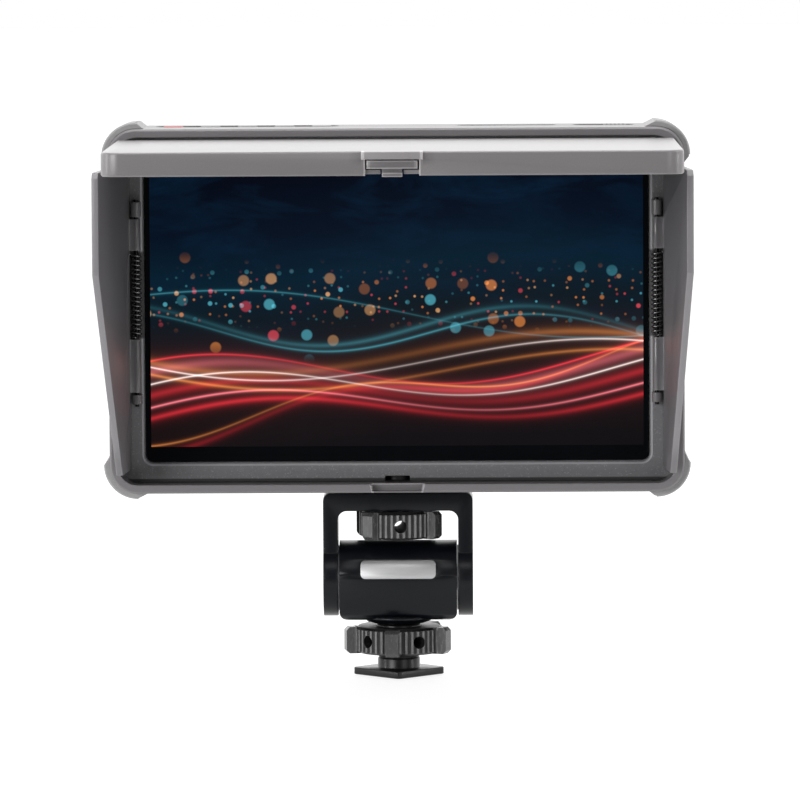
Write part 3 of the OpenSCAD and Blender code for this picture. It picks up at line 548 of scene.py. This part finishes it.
# ------------------------------------------------------------------ materials
GREY = (0.144, 0.138, 0.143)
M = {
    "shell": moulded("shell_grey", GREY, rough=0.42, edge=0.30, soft=0.0003, vary=0.03, zone=on_bumper, zone_colour=(0.265, 0.260, 0.262),
                     zone_rough=0.62),
    "rim": moulded("rim_grey", GREY, rough=0.38, edge=0.45, soft=0.00045, vary=0.03, zone=on_bezel, zone_colour=(0.150, 0.149, 0.156),
                   zone_rough=0.48, zone_sparkle=0.22, painted_light=on_notch, sleek=0.16),
    "lid": moulded("lid_grey", (0.182, 0.173, 0.178), rough=0.33, edge=0.40, spec=0.5, depth=0.10, vary=0.025, painted_light=on_catch),
    "flap": moulded("flap_grey", (0.138, 0.133, 0.139), rough=0.40, edge=0.6, edge_r=0.0009, vary=0.03, painted_light=on_free_edge,
                    sleek=0.18),
    "latch": moulded("latch_grey", (0.140, 0.134, 0.138), rough=0.34, edge=0.6, edge_r=0.00035, painted_light=on_push_bar),
    "key": moulded("key_grey", (0.20, 0.20, 0.205), rough=0.42, edge=0.15),
    "red": moulded("key_red", (0.52, 0.030, 0.032), rough=0.40, edge=0.10),
    "mount": anodised("mount_black", (0.0021, 0.0028, 0.0044), rough=0.29, spec=0.24, edge=0.18, depth=0.10, blasted=0.15),
    "wheel_u": knurled("wheel_black_upper", 0.0101, 0.0410),
    "wheel_l": knurled("wheel_black_lower", 0.0118, 0.0097, 0.68),
    "foot": anodised("foot_black", (0.0055, 0.0055, 0.0057), rough=0.31, edge=0.35, spec=0.26, blasted=0.15),
    "pad": rubber("pad_rubber", (0.012, 0.012, 0.013), rough=0.7),
    "badge": metal("badge_satin", (0.49, 0.49, 0.495), rough=0.46, stretch=(0.06, 1, 1), scale=2600, grime=0.0, vary=0.03, depth=0.05),
    "steel": metal("steel_turned", (0.56, 0.56, 0.57), rough=0.28, stretch=(1, 1, 0.2)),
    "dark_steel": metal("steel_dark", (0.10, 0.10, 0.105), rough=0.34, stretch=(1, 1, 0.3)),
    "spring": metal("spring_black", (0.020, 0.020, 0.021), rough=0.30, scale=2500, edge=0.0),
    "coil": metal("coil_black", (0.20, 0.20, 0.205), rough=0.24, scale=2500, edge=0.0, grime=0.15),
    "brass": metal("brass", (0.78, 0.58, 0.28), rough=0.30),
    "bronze": metal("bush_bronze", (0.60, 0.43, 0.24), rough=0.42),
    "tin": socket("socket_tin"),
    "gold": metal("contact_gold", (0.88, 0.66, 0.30), rough=0.22, stretch=(1, 1, 0.1)),
    "alu": metal("spreader_aluminium", (0.72, 0.72, 0.73), rough=0.40, stretch=(1, 1, 0.05)),
    "black": moulded("plate_black", (0.022, 0.022, 0.024), rough=0.48, edge=0.12),
    "inner": moulded("inner_black", (0.016, 0.016, 0.017), rough=0.5, edge=0.04),
    "white": moulded("diffuser_white", (0.78, 0.78, 0.80), rough=0.5, edge=0.0),
    "cell": moulded("panel_glass", (0.02, 0.03, 0.06), rough=0.2, edge=0.0),
    "board": board("board_green"),
    "board_key": board("board_black", (0.008, 0.008, 0.009), (0.014, 0.014, 0.015), (0.03, 0.03, 0.03)),
    "glass": screen(),
}


def paint(obj, *mats):
    obj.data.materials.clear()
    for m in mats:
        obj.data.materials.append(m)


PLAIN = {
    "shoe_base": "foot", "pan_retaining_screw": "steel", "clamp_washer": "dark_steel", "lower_lock_wheel": "wheel_l",
    "drum_housing": "mount", "badge_plate": "badge", "pan_bush": "bronze", "tilt_shoulder_screws": "dark_steel",
    "tilt_spring_washers": "steel", "yoke_bracket": "mount", "yoke_friction_washers": "white", "rubber_pad": "pad",
    "upper_thumbwheel": "wheel_u", "camera_screw": "steel", "front_frame": "rim", "rear_shell": "shell",
    "thread_insert": "brass", "cover_glass": "glass", "lcd_panel": "cell", "backlight_unit": "white",
    "heat_spreader": "alu", "main_board": "board", "keypad_board": "board_key", "hdmi_sockets": "tin",
    "usb_socket": "tin", "headphone_socket": "inner", "speaker": "inner", "fan_housing": "inner",
    "fan_rotor": "inner", "battery_plate": "black", "battery_contacts": "gold", "battery_release": "key",
    "plate_screws": "dark_steel", "case_screws": "dark_steel", "board_screws": "steel", "lid_hinge_pins": "steel",
    "flap_hinge_pins": "spring", "hood_lid": "lid", "lid_latch": "latch", "latch_spring": "steel",
    "latch_keeper": "inner", "left_flap": "flap", "right_flap": "flap", "left_flap_spring": "spring",
    "right_flap_spring": "spring", "power_button": "red", "input_button": "key", "left_button": "key",
    "right_button": "key", "menu_button": "key", "lock_slider": "key",
}
for name, obj in N.items():
    paint(obj, M[PLAIN[name]])


def softened(node, width, segments=2, angle=32, mats=(), pick=None, smooth=34):
    """The CAD piece again, with its edges rounded over in the mesh."""
    src = N[node]
    mesh = src.data.copy()
    obj = bpy.data.objects.new(node + "_body", mesh)
    scene.collection.objects.link(obj)
    bm = bmesh.new()
    bm.from_mesh(mesh)
    bmesh.ops.remove_doubles(bm, verts=bm.verts, dist=2e-6)
    bmesh.ops.dissolve_limit(bm, angle_limit=math.radians(0.6), verts=bm.verts, edges=bm.edges)
    bm.normal_update()
    bm.to_mesh(mesh)
    bm.free()
    for p in mesh.polygons:
        p.use_smooth = True
    m = obj.modifiers.new("round", "BEVEL")
    m.width, m.segments, m.limit_method = width, segments, "ANGLE"
    m.angle_limit = math.radians(angle)
    m.use_clamp_overlap = True
    m.harden_normals = False
    m.miter_outer = "MITER_ARC"
    deps = bpy.context.evaluated_depsgraph_get()
    done = bpy.data.meshes.new_from_object(obj.evaluated_get(deps))
    obj.modifiers.clear()
    obj.data = done
    done.name = node + "_body"
    obj.data.set_sharp_from_angle(angle=math.radians(smooth))
    paint(obj, *(mats or (M[PLAIN[node]],)))
    if pick:
        for p in obj.data.polygons:
            p.material_index = pick(p.center / MM, p.normal)
    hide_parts(node)
    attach(obj, src["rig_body"])
    return obj


def tube(name, path, r, sides=8):
    """Round wire along a list of points, closed at both ends."""
    bm = bmesh.new()
    rings = []
    for i, p in enumerate(path):
        d = (path[min(i + 1, len(path) - 1)] - path[max(i - 1, 0)]).normalized()
        a = d.cross(Vector((0, 0, 1)) if abs(d.z) < 0.9 else Vector((1, 0, 0))).normalized()
        b = d.cross(a)
        rings.append([bm.verts.new(p + r * (math.cos(2 * math.pi * k / sides) * a + math.sin(2 * math.pi * k / sides) * b))
                      for k in range(sides)])
    for q, w in zip(rings, rings[1:]):
        for k in range(sides):
            bm.faces.new((q[k], q[(k + 1) % sides], w[(k + 1) % sides], w[k]))
    bm.faces.new(rings[0])
    bm.faces.new(rings[-1][::-1])
    bmesh.ops.recalc_face_normals(bm, faces=bm.faces)
    mesh = bpy.data.meshes.new(name)
    bm.to_mesh(mesh)
    bm.free()
    for p in mesh.polygons:
        p.use_smooth = True
    obj = bpy.data.objects.new(name, mesh)
    scene.collection.objects.link(obj)
    return obj


def coil_spring(side):
    """The flap's torsion spring: close turns round the pin, and a leg along the flap."""
    lean = math.radians(-90 + (4.8 if side < 0 else 4.2))
    pts = []
    turns, per, z0, z1, r = 18.3, 22, 92.75, 115.15, 1.28
    for i in range(int(turns * per) + 1):
        a = 2 * math.pi * i / per
        pts.append((r * math.cos(a), r * math.sin(a), z0 + (z1 - z0) * i / (turns * per)))
    pts += [(0.9, 1.32, 115.3), (1.8, 1.25, 115.38), (3.0, 1.2, 115.4), (4.45, 1.2, 115.4)]
    path = []
    for x, y, z in pts:
        u, v = x * math.cos(lean) - y * math.sin(lean), x * math.sin(lean) + y * math.cos(lean)
        path.append(Vector((side * (70 + u), -10.2 + v, z)) * MM)
    node = "left_flap_spring" if side < 0 else "right_flap_spring"
    obj = tube(node + "_coil", path, 0.24 * MM)
    paint(obj, M["coil"])
    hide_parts(node)
    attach(obj, N[node]["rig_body"])
    return obj


SOFT = {"hood_lid": (0.35, 3), "left_flap": (0.3, 2), "right_flap": (0.3, 2), "yoke_bracket": (0.4, 3),
        "drum_housing": (0.3, 2), "badge_plate": (0.12, 2), "shoe_base": (0.2, 2), "lid_latch": (0.22, 2)}
made = {k: softened(k, w * MM, n) for k, (w, n) in SOFT.items()}
made["spring_l"], made["spring_r"] = coil_spring(-1), coil_spring(1)


# ------------------------------------------------------------------ floor, light
floor_mesh = bpy.data.meshes.new("floor")
floor_mesh.from_pydata([(-3, -0.26, -0.0002), (3, -0.26, -0.0002), (3, 6, -0.0002), (-3, 6, -0.0002)], [], [(0, 1, 2, 3)])
floor = bpy.data.objects.new("floor", floor_mesh)
scene.collection.objects.link(floor)
ft = Tree("floor_pale")
ft.set(Base_Color=ft.mix(ft.span(ft.noise(3, 2), 0.3, 0.7), (0.29, 0.29, 0.29), (0.31, 0.31, 0.31)), Roughness=0.9,
       Specular_IOR_Level=0.1, Emission_Color=(1.0, 1.0, 1.0), Emission_Strength=0.78)
paint(floor, ft.mat)

world = bpy.data.worlds.new("studio")
scene.world = world
world.use_nodes = True
wn = world.node_tree
wn.nodes.clear()
w_out = wn.nodes.new("ShaderNodeOutputWorld")
w_bg = wn.nodes.new("ShaderNodeBackground")
w_co = wn.nodes.new("ShaderNodeTexCoord")
w_sp = wn.nodes.new("ShaderNodeSeparateXYZ")
w_dir = wn.nodes.new("ShaderNodeMapRange")
w_lp = wn.nodes.new("ShaderNodeLightPath")
w_mix = wn.nodes.new("ShaderNodeMix")
w_bg.inputs[0].default_value = (1, 1, 1, 1)
wn.links.new(w_co.outputs["Generated"], w_sp.inputs[0])
wn.links.new(w_sp.outputs[1], w_dir.inputs[0])
w_dir.interpolation_type = "SMOOTHSTEP"
w_dir.inputs[1].default_value, w_dir.inputs[2].default_value = -0.5, 0.8
w_dir.inputs[3].default_value, w_dir.inputs[4].default_value = 0.16, 1.9
wn.links.new(w_lp.outputs["Is Camera Ray"], w_mix.inputs[0])
wn.links.new(w_dir.outputs[0], w_mix.inputs[2])
w_mix.inputs[3].default_value = 1.0
wn.links.new(w_mix.outputs[0], w_bg.inputs[1])
wn.links.new(w_bg.outputs[0], w_out.inputs[0])


def area(name, at, to, size, watts):
    l = bpy.data.lights.new(name, "AREA")
    l.shape, l.size, l.size_y, l.energy = "RECTANGLE", size[0], size[1], watts
    o = bpy.data.objects.new(name, l)
    scene.collection.objects.link(o)
    o.location = at
    o.rotation_euler = (Vector(to) - Vector(at)).to_track_quat("-Z", "Y").to_euler()
    return o


area("key_left", (-1.00, -1.22, 0.32), (0, 0, 0.10), (0.8, 0.5), 13.8)
area("fill_right", (0.85, -1.40, 0.26), (0, 0, 0.10), (0.7, 0.5), 3.0)
area("front_high", (0.0, -1.10, 1.05), (0, 0, 0.10), (0.8, 0.4), 2.6)
area("top_soft", (0.0, -0.05, 1.15), (0, 0, 0.1), (1.0, 0.6), 9.0)
area("strip_left", (-1.25, -0.22, 0.25), (0, -0.05, 0.12), (0.10, 0.9), 5.4)
area("strip_right", (1.25, -0.22, 0.25), (0, -0.05, 0.12), (0.10, 0.9), 5.4)
scene.view_settings.view_transform = "Standard"
scene.view_settings.look = "None"
